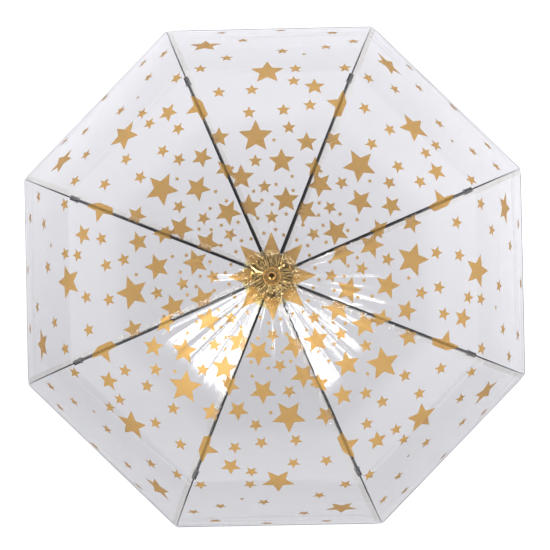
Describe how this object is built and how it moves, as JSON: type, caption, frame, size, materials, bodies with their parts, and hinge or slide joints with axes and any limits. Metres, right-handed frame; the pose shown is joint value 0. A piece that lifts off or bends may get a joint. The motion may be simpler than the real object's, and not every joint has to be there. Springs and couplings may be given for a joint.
{
  "type": "dome umbrella",
  "caption": "Deep dome umbrella with a clear film canopy on folding ribs, a sliding runner, a straight grip and a gold-coloured ferrule.",
  "frame": {"origin": "centre of the flat end face of the handle, on the shaft's axis, with the umbrella open", "axes": "+Z along the shaft from the handle to the ferrule; +X and +Y through the middles of two neighbouring quarter-turn gores"},
  "size_m": [0.7734, 0.7734, 0.8342],
  "materials": {
    "clear_film": "clear flexible film, glossy, with gold print",
    "black_steel": "black lacquered steel, satin",
    "spring_steel": "bright spring steel",
    "black_plastic": "black moulded plastic, semi-gloss",
    "gold_trim": "gold-coloured metallised plastic, glossy",
    "gold_print": "gold metallic ink, satin"
  },
  "bodies": {
    "shaft": {"shaft_tube": "black_steel", "top_notch": "black_plastic", "notch_ring": "spring_steel", "canopy_rosette": "gold_trim", "ferrule": "gold_trim", "handle_grip": "black_plastic", "handle_cap": "gold_trim", "handle_collar": "gold_trim"},
    "runner": {"runner": "black_plastic", "runner_ring": "spring_steel"},
    "top_catch": {"top_catch": "spring_steel"},
    "bottom_catch": {"bottom_catch": "spring_steel"},
    "rib_1": {"rib_1": "black_steel"},
    "rib_wire_1": {"rib_wire_1": "black_steel", "rib_tip_1": "black_plastic"},
    "strut_1": {"strut_1": "black_steel"},
    "gore_top_1": {"gore_top_1": "clear_film"},
    "gore_side_1": {"gore_side_1": "clear_film"},
    "rib_2": {"rib_2": "black_steel"},
    "rib_wire_2": {"rib_wire_2": "black_steel", "rib_tip_2": "black_plastic"},
    "strut_2": {"strut_2": "black_steel"},
    "gore_top_2": {"gore_top_2": "clear_film"},
    "gore_side_2": {"gore_side_2": "clear_film"},
    "rib_3": {"rib_3": "black_steel"},
    "rib_wire_3": {"rib_wire_3": "black_steel", "rib_tip_3": "black_plastic"},
    "strut_3": {"strut_3": "black_steel"},
    "gore_top_3": {"gore_top_3": "clear_film"},
    "gore_side_3": {"gore_side_3": "clear_film"},
    "rib_4": {"rib_4": "black_steel"},
    "rib_wire_4": {"rib_wire_4": "black_steel", "rib_tip_4": "black_plastic"},
    "strut_4": {"strut_4": "black_steel"},
    "gore_top_4": {"gore_top_4": "clear_film"},
    "gore_side_4": {"gore_side_4": "clear_film"},
    "rib_5": {"rib_5": "black_steel"},
    "rib_wire_5": {"rib_wire_5": "black_steel", "rib_tip_5": "black_plastic"},
    "strut_5": {"strut_5": "black_steel"},
    "gore_top_5": {"gore_top_5": "clear_film"},
    "gore_side_5": {"gore_side_5": "clear_film"},
    "rib_6": {"rib_6": "black_steel"},
    "rib_wire_6": {"rib_wire_6": "black_steel", "rib_tip_6": "black_plastic"},
    "strut_6": {"strut_6": "black_steel"},
    "gore_top_6": {"gore_top_6": "clear_film"},
    "gore_side_6": {"gore_side_6": "clear_film"},
    "rib_7": {"rib_7": "black_steel"},
    "rib_wire_7": {"rib_wire_7": "black_steel", "rib_tip_7": "black_plastic"},
    "strut_7": {"strut_7": "black_steel"},
    "gore_top_7": {"gore_top_7": "clear_film"},
    "gore_side_7": {"gore_side_7": "clear_film"},
    "rib_8": {"rib_8": "black_steel"},
    "rib_wire_8": {"rib_wire_8": "black_steel", "rib_tip_8": "black_plastic"},
    "strut_8": {"strut_8": "black_steel"},
    "gore_top_8": {"gore_top_8": "clear_film"},
    "gore_side_8": {"gore_side_8": "clear_film"}
  },
  "joints": [
    {"name": "runner_slide", "type": "slide", "parent": "shaft", "child": "runner", "axis": [0, 0, 1], "range_m": [-0.3933, 0]},
    {"name": "top_catch_press", "type": "slide", "parent": "shaft", "child": "top_catch", "axis": [1, 0, 0], "range_m": [-0.0032, 0], "stiffness_N_per_m": 400},
    {"name": "bottom_catch_press", "type": "slide", "parent": "shaft", "child": "bottom_catch", "axis": [1, 0, 0], "range_m": [-0.0032, 0], "stiffness_N_per_m": 400},
    {"name": "rib_fold_1", "type": "hinge", "parent": "shaft", "child": "rib_1", "pos_m": [0.01293, 0.00536, 0.782], "axis": [0.3827, -0.9239, 0], "range_deg": [-74.07, 0]},
    {"name": "rib_wire_flex_1", "type": "hinge", "parent": "rib_1", "child": "rib_wire_1", "pos_m": [0.27233, 0.1128, 0.7085], "axis": [0.3827, -0.9239, 0], "range_deg": [0, 47.73]},
    {"name": "strut_fold_1", "type": "hinge", "parent": "rib_1", "child": "strut_1", "pos_m": [0.27233, 0.1128, 0.7085], "axis": [0.3827, -0.9239, 0], "range_deg": [0, 138.33]},
    {"name": "gore_top_fold_1", "type": "hinge", "parent": "shaft", "child": "gore_top_1", "pos_m": [0.00915, 0.00915, 0.782], "axis": [0.7071, -0.7071, 0], "range_deg": [-74.07, 0], "deforming": ["gore_top_1"]},
    {"name": "gore_side_fold_1", "type": "hinge", "parent": "gore_top_1", "child": "gore_side_1", "pos_m": [0.19256, 0.19256, 0.7085], "axis": [0.7071, -0.7071, 0], "range_deg": [0, 47.73], "deforming": ["gore_side_1"]},
    {"name": "rib_fold_2", "type": "hinge", "parent": "shaft", "child": "rib_2", "pos_m": [0.00536, 0.01293, 0.782], "axis": [0.9239, -0.3827, 0], "range_deg": [-74.07, 0]},
    {"name": "rib_wire_flex_2", "type": "hinge", "parent": "rib_2", "child": "rib_wire_2", "pos_m": [0.1128, 0.27233, 0.7085], "axis": [0.9239, -0.3827, 0], "range_deg": [0, 47.73]},
    {"name": "strut_fold_2", "type": "hinge", "parent": "rib_2", "child": "strut_2", "pos_m": [0.1128, 0.27233, 0.7085], "axis": [0.9239, -0.3827, 0], "range_deg": [0, 138.33]},
    {"name": "gore_top_fold_2", "type": "hinge", "parent": "shaft", "child": "gore_top_2", "pos_m": [0, 0.01293, 0.782], "axis": [1, 0, 0], "range_deg": [-74.07, 0], "deforming": ["gore_top_2"]},
    {"name": "gore_side_fold_2", "type": "hinge", "parent": "gore_top_2", "child": "gore_side_2", "pos_m": [0, 0.27233, 0.7085], "axis": [1, 0, 0], "range_deg": [0, 47.73], "deforming": ["gore_side_2"]},
    {"name": "rib_fold_3", "type": "hinge", "parent": "shaft", "child": "rib_3", "pos_m": [-0.00536, 0.01293, 0.782], "axis": [0.9239, 0.3827, 0], "range_deg": [-74.07, 0]},
    {"name": "rib_wire_flex_3", "type": "hinge", "parent": "rib_3", "child": "rib_wire_3", "pos_m": [-0.1128, 0.27233, 0.7085], "axis": [0.9239, 0.3827, 0], "range_deg": [0, 47.73]},
    {"name": "strut_fold_3", "type": "hinge", "parent": "rib_3", "child": "strut_3", "pos_m": [-0.1128, 0.27233, 0.7085], "axis": [0.9239, 0.3827, 0], "range_deg": [0, 138.33]},
    {"name": "gore_top_fold_3", "type": "hinge", "parent": "shaft", "child": "gore_top_3", "pos_m": [-0.00915, 0.00915, 0.782], "axis": [0.7071, 0.7071, 0], "range_deg": [-74.07, 0], "deforming": ["gore_top_3"]},
    {"name": "gore_side_fold_3", "type": "hinge", "parent": "gore_top_3", "child": "gore_side_3", "pos_m": [-0.19256, 0.19256, 0.7085], "axis": [0.7071, 0.7071, 0], "range_deg": [0, 47.73], "deforming": ["gore_side_3"]},
    {"name": "rib_fold_4", "type": "hinge", "parent": "shaft", "child": "rib_4", "pos_m": [-0.01293, 0.00536, 0.782], "axis": [0.3827, 0.9239, 0], "range_deg": [-74.07, 0]},
    {"name": "rib_wire_flex_4", "type": "hinge", "parent": "rib_4", "child": "rib_wire_4", "pos_m": [-0.27233, 0.1128, 0.7085], "axis": [0.3827, 0.9239, 0], "range_deg": [0, 47.73]},
    {"name": "strut_fold_4", "type": "hinge", "parent": "rib_4", "child": "strut_4", "pos_m": [-0.27233, 0.1128, 0.7085], "axis": [0.3827, 0.9239, 0], "range_deg": [0, 138.33]},
    {"name": "gore_top_fold_4", "type": "hinge", "parent": "shaft", "child": "gore_top_4", "pos_m": [-0.01293, 0, 0.782], "axis": [0, 1, 0], "range_deg": [-74.07, 0], "deforming": ["gore_top_4"]},
    {"name": "gore_side_fold_4", "type": "hinge", "parent": "gore_top_4", "child": "gore_side_4", "pos_m": [-0.27233, 0, 0.7085], "axis": [0, 1, 0], "range_deg": [0, 47.73], "deforming": ["gore_side_4"]},
    {"name": "rib_fold_5", "type": "hinge", "parent": "shaft", "child": "rib_5", "pos_m": [-0.01293, -0.00536, 0.782], "axis": [-0.3827, 0.9239, 0], "range_deg": [-74.07, 0]},
    {"name": "rib_wire_flex_5", "type": "hinge", "parent": "rib_5", "child": "rib_wire_5", "pos_m": [-0.27233, -0.1128, 0.7085], "axis": [-0.3827, 0.9239, 0], "range_deg": [0, 47.73]},
    {"name": "strut_fold_5", "type": "hinge", "parent": "rib_5", "child": "strut_5", "pos_m": [-0.27233, -0.1128, 0.7085], "axis": [-0.3827, 0.9239, 0], "range_deg": [0, 138.33]},
    {"name": "gore_top_fold_5", "type": "hinge", "parent": "shaft", "child": "gore_top_5", "pos_m": [-0.00915, -0.00915, 0.782], "axis": [-0.7071, 0.7071, 0], "range_deg": [-74.07, 0], "deforming": ["gore_top_5"]},
    {"name": "gore_side_fold_5", "type": "hinge", "parent": "gore_top_5", "child": "gore_side_5", "pos_m": [-0.19256, -0.19256, 0.7085], "axis": [-0.7071, 0.7071, 0], "range_deg": [0, 47.73], "deforming": ["gore_side_5"]},
    {"name": "rib_fold_6", "type": "hinge", "parent": "shaft", "child": "rib_6", "pos_m": [-0.00536, -0.01293, 0.782], "axis": [-0.9239, 0.3827, 0], "range_deg": [-74.07, 0]},
    {"name": "rib_wire_flex_6", "type": "hinge", "parent": "rib_6", "child": "rib_wire_6", "pos_m": [-0.1128, -0.27233, 0.7085], "axis": [-0.9239, 0.3827, 0], "range_deg": [0, 47.73]},
    {"name": "strut_fold_6", "type": "hinge", "parent": "rib_6", "child": "strut_6", "pos_m": [-0.1128, -0.27233, 0.7085], "axis": [-0.9239, 0.3827, 0], "range_deg": [0, 138.33]},
    {"name": "gore_top_fold_6", "type": "hinge", "parent": "shaft", "child": "gore_top_6", "pos_m": [0, -0.01293, 0.782], "axis": [-1, 0, 0], "range_deg": [-74.07, 0], "deforming": ["gore_top_6"]},
    {"name": "gore_side_fold_6", "type": "hinge", "parent": "gore_top_6", "child": "gore_side_6", "pos_m": [0, -0.27233, 0.7085], "axis": [-1, 0, 0], "range_deg": [0, 47.73], "deforming": ["gore_side_6"]},
    {"name": "rib_fold_7", "type": "hinge", "parent": "shaft", "child": "rib_7", "pos_m": [0.00536, -0.01293, 0.782], "axis": [-0.9239, -0.3827, 0], "range_deg": [-74.07, 0]},
    {"name": "rib_wire_flex_7", "type": "hinge", "parent": "rib_7", "child": "rib_wire_7", "pos_m": [0.1128, -0.27233, 0.7085], "axis": [-0.9239, -0.3827, 0], "range_deg": [0, 47.73]},
    {"name": "strut_fold_7", "type": "hinge", "parent": "rib_7", "child": "strut_7", "pos_m": [0.1128, -0.27233, 0.7085], "axis": [-0.9239, -0.3827, 0], "range_deg": [0, 138.33]},
    {"name": "gore_top_fold_7", "type": "hinge", "parent": "shaft", "child": "gore_top_7", "pos_m": [0.00915, -0.00915, 0.782], "axis": [-0.7071, -0.7071, 0], "range_deg": [-74.07, 0], "deforming": ["gore_top_7"]},
    {"name": "gore_side_fold_7", "type": "hinge", "parent": "gore_top_7", "child": "gore_side_7", "pos_m": [0.19256, -0.19256, 0.7085], "axis": [-0.7071, -0.7071, 0], "range_deg": [0, 47.73], "deforming": ["gore_side_7"]},
    {"name": "rib_fold_8", "type": "hinge", "parent": "shaft", "child": "rib_8", "pos_m": [0.01293, -0.00536, 0.782], "axis": [-0.3827, -0.9239, 0], "range_deg": [-74.07, 0]},
    {"name": "rib_wire_flex_8", "type": "hinge", "parent": "rib_8", "child": "rib_wire_8", "pos_m": [0.27233, -0.1128, 0.7085], "axis": [-0.3827, -0.9239, 0], "range_deg": [0, 47.73]},
    {"name": "strut_fold_8", "type": "hinge", "parent": "rib_8", "child": "strut_8", "pos_m": [0.27233, -0.1128, 0.7085], "axis": [-0.3827, -0.9239, 0], "range_deg": [0, 138.33]},
    {"name": "gore_top_fold_8", "type": "hinge", "parent": "shaft", "child": "gore_top_8", "pos_m": [0.01293, 0, 0.782], "axis": [0, -1, 0], "range_deg": [-74.07, 0], "deforming": ["gore_top_8"]},
    {"name": "gore_side_fold_8", "type": "hinge", "parent": "gore_top_8", "child": "gore_side_8", "pos_m": [0.27233, 0, 0.7085], "axis": [0, -1, 0], "range_deg": [0, 47.73], "deforming": ["gore_side_8"]}
  ],
  "couplings": [
    {"joint": "rib_fold_1", "follows": "runner_slide", "rad_per_m": 3.2859},
    {"joint": "rib_wire_flex_1", "follows": "runner_slide", "rad_per_m": -2.1172},
    {"joint": "strut_fold_1", "follows": "runner_slide", "rad_per_m": -6.1378},
    {"joint": "gore_top_fold_1", "follows": "runner_slide", "rad_per_m": 3.2859},
    {"joint": "gore_side_fold_1", "follows": "runner_slide", "rad_per_m": -2.1172},
    {"joint": "rib_fold_2", "follows": "runner_slide", "rad_per_m": 3.2859},
    {"joint": "rib_wire_flex_2", "follows": "runner_slide", "rad_per_m": -2.1172},
    {"joint": "strut_fold_2", "follows": "runner_slide", "rad_per_m": -6.1378},
    {"joint": "gore_top_fold_2", "follows": "runner_slide", "rad_per_m": 3.2859},
    {"joint": "gore_side_fold_2", "follows": "runner_slide", "rad_per_m": -2.1172},
    {"joint": "rib_fold_3", "follows": "runner_slide", "rad_per_m": 3.2859},
    {"joint": "rib_wire_flex_3", "follows": "runner_slide", "rad_per_m": -2.1172},
    {"joint": "strut_fold_3", "follows": "runner_slide", "rad_per_m": -6.1378},
    {"joint": "gore_top_fold_3", "follows": "runner_slide", "rad_per_m": 3.2859},
    {"joint": "gore_side_fold_3", "follows": "runner_slide", "rad_per_m": -2.1172},
    {"joint": "rib_fold_4", "follows": "runner_slide", "rad_per_m": 3.2859},
    {"joint": "rib_wire_flex_4", "follows": "runner_slide", "rad_per_m": -2.1172},
    {"joint": "strut_fold_4", "follows": "runner_slide", "rad_per_m": -6.1378},
    {"joint": "gore_top_fold_4", "follows": "runner_slide", "rad_per_m": 3.2859},
    {"joint": "gore_side_fold_4", "follows": "runner_slide", "rad_per_m": -2.1172},
    {"joint": "rib_fold_5", "follows": "runner_slide", "rad_per_m": 3.2859},
    {"joint": "rib_wire_flex_5", "follows": "runner_slide", "rad_per_m": -2.1172},
    {"joint": "strut_fold_5", "follows": "runner_slide", "rad_per_m": -6.1378},
    {"joint": "gore_top_fold_5", "follows": "runner_slide", "rad_per_m": 3.2859},
    {"joint": "gore_side_fold_5", "follows": "runner_slide", "rad_per_m": -2.1172},
    {"joint": "rib_fold_6", "follows": "runner_slide", "rad_per_m": 3.2859},
    {"joint": "rib_wire_flex_6", "follows": "runner_slide", "rad_per_m": -2.1172},
    {"joint": "strut_fold_6", "follows": "runner_slide", "rad_per_m": -6.1378},
    {"joint": "gore_top_fold_6", "follows": "runner_slide", "rad_per_m": 3.2859},
    {"joint": "gore_side_fold_6", "follows": "runner_slide", "rad_per_m": -2.1172},
    {"joint": "rib_fold_7", "follows": "runner_slide", "rad_per_m": 3.2859},
    {"joint": "rib_wire_flex_7", "follows": "runner_slide", "rad_per_m": -2.1172},
    {"joint": "strut_fold_7", "follows": "runner_slide", "rad_per_m": -6.1378},
    {"joint": "gore_top_fold_7", "follows": "runner_slide", "rad_per_m": 3.2859},
    {"joint": "gore_side_fold_7", "follows": "runner_slide", "rad_per_m": -2.1172},
    {"joint": "rib_fold_8", "follows": "runner_slide", "rad_per_m": 3.2859},
    {"joint": "rib_wire_flex_8", "follows": "runner_slide", "rad_per_m": -2.1172},
    {"joint": "strut_fold_8", "follows": "runner_slide", "rad_per_m": -6.1378},
    {"joint": "gore_top_fold_8", "follows": "runner_slide", "rad_per_m": 3.2859},
    {"joint": "gore_side_fold_8", "follows": "runner_slide", "rad_per_m": -2.1172}
  ]
}
